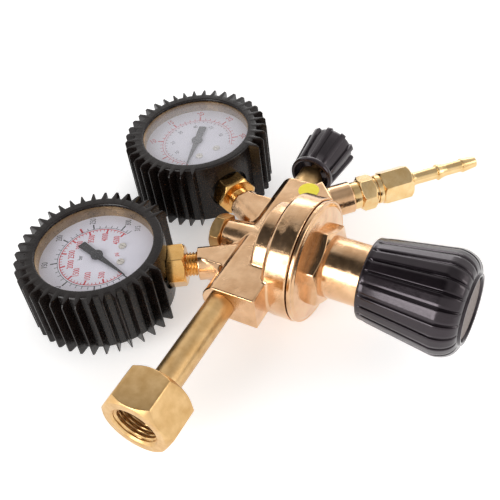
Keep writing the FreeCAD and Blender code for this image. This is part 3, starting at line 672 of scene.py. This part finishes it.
def small_knob():
    """Tapered knob with ten square ribs on a smooth core and a plain skirt ring."""
    low, high = SMALL_KNOB_SPAN
    near, far = SMALL_KNOB_R
    half = 1.55
    flank = 0.35
    pitch = 360.0 / SMALL_KNOB_RIBS
    edge = degrees(half / far)
    foot = edge + degrees(flank / far)
    offsets = [-foot, -edge, -edge * 0.86, 0, edge * 0.86, edge, foot]
    offsets += [edge + 4.0, pitch / 2, pitch - edge - 4.0]
    angles = [pitch * rib + offset for rib in range(SMALL_KNOB_RIBS) for offset in offsets]

    def rib(angle):
        off = abs((angle + pitch / 2) % pitch - pitch / 2)
        if off < edge * 0.9:
            return 1.0
        return 0.90 if off < edge * 1.02 else 0.0

    ribs_start = low + 3.0
    rib_end = high - 0.6
    slope = (far - near) / (rib_end - ribs_start)
    rows = [(low, near - 0.8, 0), (low + 0.2, near - 0.25, 0), (low + 0.7, near, 0)]
    rows += [(low + 2.3, near + 0.05, 0), (low + 2.8, near - 0.15, 0)]
    rows += [(ribs_start, near - 1.1, 0.9), (ribs_start + 0.4, near - 1.3, 1)]
    rows += [(y, near - 1.3 + slope * (y - ribs_start), 1) for y in (64.0, 70.0, 76.0)]
    rows += [(rib_end - 2.0, far - 1.8, 1), (rib_end - 0.9, far - 1.9, 0.95), (rib_end - 0.2, far - 2.1, 0.7)]
    rows += [(rib_end, far - 2.2, 0.35), (rib_end + 0.05, far - 2.3, 0)]
    rows += [(high - 0.1, far - 3.0, 0), (high, far - 3.8, 0)]
    rows += [(high, 4.8, 0), (high - 0.3, 4.4, 0), (79.0, 4.4, 0), (79.0, 3.0, 0)]
    rows += [(61.5, 3.0, 0), (61.5, 9.9, 0)]
    rows += [(low + 0.3, 9.9, 0), (low, 10.3, 0)]

    def height(distance, core):
        return max(0.0, near + slope * (distance - ribs_start) - core)

    grid = []
    for distance, core, share in rows:
        grid.append(ring(distance, lambda a: core + share * rib(a) * height(distance, core), angles))
    stand_in("small_knob", [skin(grid, loop=True)], VALVE_LINE, 40.0)


def packing_nut():
    profile = [(41.6, 3.1), (41.6, 7.6), (43.4, 7.6), (43.4, 6.3), (56.5, 6.3), (57.5, 5.3), (57.5, 3.1)]
    spigot = [(31.0, 5.0), (31.0, 5.6), (41.8, 5.6), (41.8, 3.1), (34.5, 3.1), (34.5, 5.0)]
    stand_in("packing_nut", [lathe(profile, 0.3, loop=True), lathe(spigot, 0.2, loop=True)], VALVE_LINE)


def outlet_adaptor():
    collar = [(37.1, 2.0), (37.1, 7.0), (38.0, 7.1), (41.4, 7.1), (41.4, 2.0)]
    across = hexagon((41.3, 49.3), FITTING_ACROSS, 40.0, 2.0, (1.2, 1.4))
    nose = [(49.0, 2.0), (49.0, 6.5), (60.0, 6.5), (60.6, 5.9), (60.6, 5.2), (57.6, 2.0)]
    inner = [(25.4, 2.0), (25.4, 6.0), (37.3, 6.0), (37.3, 2.0)]
    shells = [lathe(outline, 0.3, loop=True) for outline in (collar, nose, inner)]
    stand_in("outlet_adaptor", shells + [across], BRANCH_LINE)


def union_nut():
    collar = [(50.6, 6.7), (50.6, 7.5), (53.4, 7.5), (53.4, 6.7)]
    across = hexagon((53.1, 69.1), FITTING_ACROSS, 24.0, 4.25, (1.0, 1.7))
    inside = [(54.0, 6.7), (54.0, 6.9), (66.0, 6.9), (66.0, 4.3), (65.4, 4.3), (65.4, 6.7)]
    shells = [lathe(collar, 0.25, loop=True), across, lathe(inside, 0.1, loop=True)]
    stand_in("union_nut", shells, BRANCH_LINE)


def hose_barb():
    profile = [(58.4, 1.5), (58.4, 2.4), (60.6, 4.6), (60.8, 5.9), (65.7, 5.9), (65.7, 3.95), (71.2, 3.95),
               (71.6, 3.45), (73.0, 3.3), (84.2, 3.3), (84.7, 4.2), (85.3, 4.2), (87.6, 3.5), (89.8, 3.15),
               (98.4, 3.15), (98.6, 3.75), (99.1, 3.75), (106.3, 2.85), (106.7, 2.55), (106.7, 1.5)]
    stand_in("hose_barb", [lathe(profile, 0.18, loop=True, columns=96)], BRANCH_LINE)


def rear_plug():
    head = hexagon((-26.0, -20.0), 18.0, BONNET_CORNER_AT, 2.2, (1.6, 0.3))
    core = [(-25.2, 0.01), (-25.2, 2.4), (-19.0, 5.0), (-12.0, 5.0), (-12.0, 3.7), (-19.5, 3.7),
            (-19.5, 0.01)]
    stand_in("rear_plug", [head, lathe(core, 0.2)], KNOB_LINE)


# ---------------------------------------------------------------- gauges

def rib_share(angle, rib_centres):
    """1 on a rib's tip, falling in a slight hollow to 0 at its foot."""
    off = min(abs((angle - centre + 180.0) % 360.0 - 180.0) for centre in rib_centres)
    return max(0.0, 1.0 - max(0.0, off - 0.4) / 1.9) ** 1.15


def boot(name, stem, dial):
    """Rubber boot: sharp full-depth ribs, a lip over the window and a hole at the stem."""
    count = int((360.0 - 2 * RIB_FREE) / RIB_PITCH) + 1
    centres = [180.0 + RIB_PITCH * (index - (count - 1) / 2) for index in range(count)]
    slopes = (0.4, 0.8, 1.3, 1.8, 2.3)
    offsets = [-turn for turn in reversed(slopes)] + [0.0, *slopes, 3.7, 4.65, 5.6]
    angles = [centre + offset for centre in centres for offset in offsets]
    last = angles[-1]
    plain = 28
    gap = angles[0] + 360.0 - last
    angles += [last + gap * index / plain for index in range(1, plain)]
    bottom, top = BOOT_Z

    def profile(angle):
        share = rib_share(angle, centres)
        reach = BOOT_BODY_R + (RIB_TIP_R - BOOT_BODY_R) * share
        edge = 0.7 + 0.6 * share
        return [(bottom, 24.0), (bottom, reach - edge), (bottom + edge, reach), (top - edge, reach),
                (top, reach - edge), (top, WINDOW_R + 0.5), (top - 0.6, WINDOW_R), (LIP_UNDER, WINDOW_R),
                (LIP_UNDER, CASE_R), (CASE_BACK, CASE_R), (CASE_BACK, 24.0)]

    mesh = mesh_of(name + "_boot_look", [column_skin(profile, angles, 0.25)], dial, 28.0)
    hole = lathe([(20.0, 0.01), (20.0, STEM_HOLE_R), (50.0, STEM_HOLE_R), (50.0, 0.01)])
    cutter = loose(mesh_of("stem_hole", [hole], stem))
    piece = loose(mesh)
    cut = piece.modifiers.new("hole", "BOOLEAN")
    cut.object = cutter
    cut.solver = "EXACT"
    mesh = applied(piece)
    bpy.data.objects.remove(cutter)
    smooth(mesh, 28.0)
    show(mesh, "boot_rubber", name + "_boot")


def socket(name, stem):
    block = plate([(-7, -9.0), (7, -9.0), (7, 2.4), (-7, 2.4)], 9.0, 25.0, 0.5)
    neck = [(22.0, 1.2), (22.0, 6.8), (33.0, 6.8), (33.0, 1.2)]
    across = hexagon(GAUGE_HEX, 19.0, 0.0, 1.2, (1.2, 1.3))
    thread = threaded_rod((GAUGE_HEX[1] - 0.6, 59.5), GAUGE_THREAD_R, 1.5)
    stand_in(name + "_socket", [block, lathe(neck, 0.3, loop=True), across, thread], stem)


def bezel(name, dial):
    """Turned wall between the dial and the window's lip, with fine grooves."""
    steps = 9
    pitch = (BEZEL_TOP - DIAL_TOP) / steps
    wall = []
    for step in range(steps):
        low = DIAL_TOP + pitch * step
        wall += [(low, BEZEL_R), (low + pitch * 0.7, BEZEL_R), (low + pitch * 0.85, BEZEL_R + 0.18)]
    outline = wall + [(BEZEL_TOP, BEZEL_R + 0.1), (BEZEL_TOP, WINDOW_R + 1.0), (DIAL_TOP, WINDOW_R + 1.0)]
    shell = lathe(outline, 0.04, loop=True, columns=96)
    stand_in(name + "_bezel", [shell], dial, 20.0, "bezel_brown")


def needle(name, dial):
    """Flat needle with a wide square tail, a domed hub and its boss."""
    towards = Matrix.Rotation(radians(-45.0), 4, "Z")
    half = [(-12.2, 2.0), (-11.8, 2.15), (0, 1.8), (4.0, 1.35), (20.6, 0.28), (21.0, 0.12)]
    blade = plate(half + [(x, -y) for x, y in reversed(half)], 12.3, 12.7, 0.08)
    hub = lathe([(12.2, 0.01), (12.2, 3.0), (13.2, 3.0), (13.5, 2.5), (13.6, 0.01)], 0.2)
    boss = lathe([(13.4, 0.01), (13.4, 1.0), (13.9, 0.8), (13.95, 0.01)], 0.15, columns=48)
    stand_in(name + "_pointer", [blade, hub, boss], dial @ towards)


INK_BOTTOM = DIAL_TOP - 0.05
INK_TOP = DIAL_TOP + 0.04
CONDENSED = 0.66           # width of the figures against the plain face


def mark(angle, inner, outer, width):
    """Radial scale mark at a clockwise angle from the stem."""
    turn = Matrix.Rotation(radians(-angle), 4, "Z")
    points = [(x, y, z) for z in (INK_BOTTOM, INK_TOP)
              for x, y in ((inner, -width / 2), (outer, -width / 2), (outer, width / 2), (inner, width / 2))]
    faces = [(3, 2, 1, 0), (4, 5, 6, 7), (0, 1, 5, 4), (1, 2, 6, 5), (2, 3, 7, 6), (3, 0, 4, 7)]
    return [turn @ Vector(point) for point in points], faces


def arc(first, last, inner, outer):
    """Part of a ring between two clockwise angles from the stem."""
    steps = int((last - first) / 2.0)
    rows = []
    for step in range(steps + 1):
        turn = radians(-(first + (last - first) * step / steps))
        corners = ((inner, INK_BOTTOM), (outer, INK_BOTTOM), (outer, INK_TOP), (inner, INK_TOP))
        rows.append([(radius * cos(turn), radius * sin(turn), z) for radius, z in corners])
    return skin(rows)


def numeral(text, size, angle, radius, weight=0.0):
    """Upright figures centred at a clockwise angle from the stem."""
    curve = bpy.data.curves.new("figures", "FONT")
    curve.body = text
    curve.size = size
    curve.align_x = "CENTER"
    curve.align_y = "CENTER"
    curve.extrude = (INK_TOP - INK_BOTTOM) / 2
    curve.offset = weight
    curve.resolution_u = 3
    mesh = applied(loose(curve))
    turn = radians(-angle)
    centre = Vector((radius * cos(turn), radius * sin(turn), (INK_TOP + INK_BOTTOM) / 2))
    points = [centre + Vector((-v.co.y, v.co.x * CONDENSED, v.co.z)) for v in mesh.vertices]
    faces = [tuple(face.vertices) for face in mesh.polygons]
    bpy.data.meshes.remove(mesh)
    return points, faces


SWEEP_START = 45.0
SWEEP = 270.0


def scale_angle(value, full):
    return SWEEP_START + SWEEP * value / full


def ink(name, color, shells, dial):
    mesh = mesh_of(name + "_" + color + "_scale", shells, dial, 60.0)
    show(mesh, "dial_" + color + "_ink", name + "_dial", replace=False)


def high_dial_print(name, dial):
    """0 to 315 bar outside in black, 0 to 4500 psi inside in red."""
    full = 315
    end = SWEEP_START + SWEEP
    black = [arc(SWEEP_START, end, 19.4, 19.65)]
    for value in range(0, 311, 10):
        major = value % 50 == 0
        black.append(mark(scale_angle(value, full), 19.5, 23.0 if major else 21.2, 0.65 if major else 0.3))
    black.append(mark(end, 19.5, 22.0, 0.3))
    for value in (50, 100, 150, 200, 250, 300):
        black.append(numeral(str(value), 4.3, scale_angle(value, full), 25.6))
    black.append(numeral("315", 3.9, end + 3.0, 25.2))
    black.append(numeral("bar", 3.4, 180.0, 8.4))
    bar_per_psi = 0.0689476
    red = [arc(SWEEP_START, end, 18.35, 18.75)]
    for value in range(0, 4501, 100):
        major = value % 500 == 0
        angle = scale_angle(value * bar_per_psi, full)
        red.append(mark(angle, 15.9 if major else 17.2, 18.6, 0.85 if major else 0.32))
    for value in range(500, 4501, 500):
        red.append(numeral(str(value), 4.3, scale_angle(value * bar_per_psi, full), 13.2, 0.035))
    red.append(numeral("psi", 3.4, 0.0, 9.4, 0.03))
    red.append(mark(scale_angle(230, full), 19.7, 23.0, 1.0))
    ink(name, "black", black, dial)
    ink(name, "red", red, dial)


def low_dial_print(name, dial):
    """0 to 32 litres a minute outside in red, a thinner black scale inside."""
    full = 32
    end = SWEEP_START + SWEEP
    red = [arc(SWEEP_START, end, 19.0, 19.3), arc(SWEEP_START, end, 17.9, 18.1)]
    for value in range(0, full + 1):
        major = value % 5 == 0
        red.append(mark(scale_angle(value, full), 19.2, 22.4 if major else 20.8, 0.75 if major else 0.35))
    for value in range(5, 31, 5):
        red.append(numeral(str(value), 5.2, scale_angle(value, full), 25.2, 0.04))
    black = []
    for value in range(0, 68, 2):
        major = value % 10 == 0
        black.append(mark(scale_angle(value * 0.472, full), 16.2 if major else 17.0, 18.0, 0.3))
    for value in range(10, 61, 10):
        black.append(numeral(str(value), 3.6, scale_angle(value * 0.472, full), 13.6))
    ink(name, "black", black, dial)
    ink(name, "red", red, dial)


def gauges():
    for name, side in GAUGE_SIDES.items():
        stem, dial = gauge_lines(side)
        boot(name, stem, dial)
        socket(name, stem)
        bezel(name, dial)
        needle(name, dial)
        print_dial = high_dial_print if side < 0 else low_dial_print
        print_dial(name, dial)


# ---------------------------------------------------------------- frame nodes that stay

def dress_frame():
    """Give every CAD node the finish of its slot; the hidden ones keep it too."""
    for node, piece in NODES.items():
        finish = SLOT_OF[node]
        # The low gauge's lens gets the window with the painted reflection instead of its slot's finish
        if node == "low_gauge_lens":
            finish = "window_painted_reflection"
        piece.data.materials.clear()
        piece.data.materials.append(FINISHES[finish])


# ---------------------------------------------------------------- studio

def floor_plane():
    mesh = bpy.data.meshes.new("studio_floor")
    half = 6.0
    corners = [(-half, -half, 0), (half, -half, 0), (half, half, 0), (-half, half, 0)]
    mesh.from_pydata(corners, [], [(0, 1, 2, 3)])
    piece = loose(mesh)
    finish = Finish("studio_paper", (0.9, 0.9, 0.9), roughness=0.9, emission_strength=0.42)
    finish.shader.inputs["Emission Color"].default_value = (1, 1, 1, 1)
    finish.tint(finish.noise(400.0), mixed((0.90, 0.90, 0.90), (0.92, 0.92, 0.92)))
    mesh.materials.append(finish.material)


def heading_vector(heading, height):
    level = cos(radians(height))
    return Vector((level * cos(radians(heading)), level * sin(radians(heading)), sin(radians(height))))


def softbox(name, heading, height, size, power, color=(1, 1, 1)):
    """Softbox one metre from the regulator, at a compass heading and a height in degrees."""
    data = bpy.data.lights.new(name, "AREA")
    data.shape = "RECTANGLE"
    data.size, data.size_y = size
    data.energy = power
    data.color = color
    lamp = bpy.data.objects.new(name, data)
    out = heading_vector(heading, height)
    lamp.location = out
    lamp.rotation_euler = (-out).to_track_quat("-Z", "Y").to_euler()
    bpy.context.scene.collection.objects.link(lamp)


FLAG_TOWARDS = (-148.0, 56.0)      # heading and height of the dark flag's centre
CEILING_LEVELS = ((0.0, 0.95), (0.45, 1.0), (0.72, 0.80), (0.90, 0.38), (1.0, 0.50))


def studio_world():
    """Pale surroundings: bright walls, a dimmer ceiling and a dark flag high on the left."""
    world = bpy.data.worlds.new("studio")
    world.use_nodes = True
    bpy.context.scene.world = world
    tree = world.node_tree
    back = tree.nodes["Background"]
    direction = tree.nodes.new("ShaderNodeTexCoord").outputs["Generated"]
    split = tree.nodes.new("ShaderNodeSeparateXYZ")
    tree.links.new(direction, split.inputs[0])
    ramp = tree.nodes.new("ShaderNodeValToRGB")
    ramp.color_ramp.elements[0].position = CEILING_LEVELS[0][0]
    ramp.color_ramp.elements[1].position = CEILING_LEVELS[-1][0]
    for position, _ in CEILING_LEVELS[1:-1]:
        ramp.color_ramp.elements.new(position)
    for element, (_, level) in zip(ramp.color_ramp.elements, CEILING_LEVELS):
        element.color = (level, level * 0.98, level * 0.97, 1)
    tree.links.new(split.outputs["Z"], ramp.inputs["Fac"])
    flag = tree.nodes.new("ShaderNodeVectorMath")
    flag.operation = "DOT_PRODUCT"
    flag.inputs[1].default_value = heading_vector(*FLAG_TOWARDS)
    tree.links.new(direction, flag.inputs[0])
    shade = tree.nodes.new("ShaderNodeVectorMath")
    shade.operation = "SCALE"
    tree.links.new(ramp.outputs["Color"], shade.inputs[0])
    tree.links.new(ranged(tree, flag.outputs["Value"], (0.84, 0.93, 1.0, 0.13)), shade.inputs["Scale"])
    seen = tree.nodes.new("ShaderNodeMix")
    seen.data_type = "RGBA"
    seen.inputs["B"].default_value = (1.0, 1.0, 1.0, 1)
    tree.links.new(shade.outputs["Vector"], seen.inputs["A"])
    path = tree.nodes.new("ShaderNodeLightPath")
    tree.links.new(path.outputs["Is Camera Ray"], seen.inputs["Factor"])
    tree.links.new(seen.outputs["Result"], back.inputs["Color"])


def camera():
    """Camera at the viewing angle of the product shot, placed in the regulator's own axes."""
    data = bpy.data.cameras.new("camera")
    data.sensor_width = 36.0
    data.lens = 58.2
    data.clip_start = 0.01
    data.clip_end = 20.0
    piece = bpy.data.objects.new("camera", data)
    back = Vector((0.399, -0.580, 0.710)).normalized()
    right = Vector((0.875, 0.473, -0.105))
    right = (right - back * right.dot(back)).normalized()
    turn = Matrix((right, back.cross(right), back)).transposed().to_4x4()
    local = AXES @ Matrix.Translation((154.8, -236.5, 282.8)) @ turn
    piece.matrix_world = Matrix.Translation(local.translation) @ local.to_quaternion().to_matrix().to_4x4()
    bpy.context.scene.collection.objects.link(piece)
    bpy.context.scene.camera = piece


def studio():
    floor_plane()
    softbox("key_softbox", -108.0, 24.0, (0.5, 0.55), 5.0)
    softbox("back_softbox", 106.0, 20.0, (0.7, 0.3), 1.6)
    softbox("right_softbox", 20.0, 30.0, (0.3, 0.5), 1.2, (1.0, 0.97, 0.93))
    studio_world()
    camera()
    scene = bpy.context.scene
    scene.view_settings.view_transform = "Standard"
    scene.view_settings.look = "None"


# ---------------------------------------------------------------- everything

FINISHES = all_finishes()
dress_frame()
cast_body()
inlet_stem()
inlet_nut()
bonnet()
knob()
knob_cap()
small_knob()
packing_nut()
outlet_adaptor()
union_nut()
hose_barb()
rear_plug()
gauges()
studio()
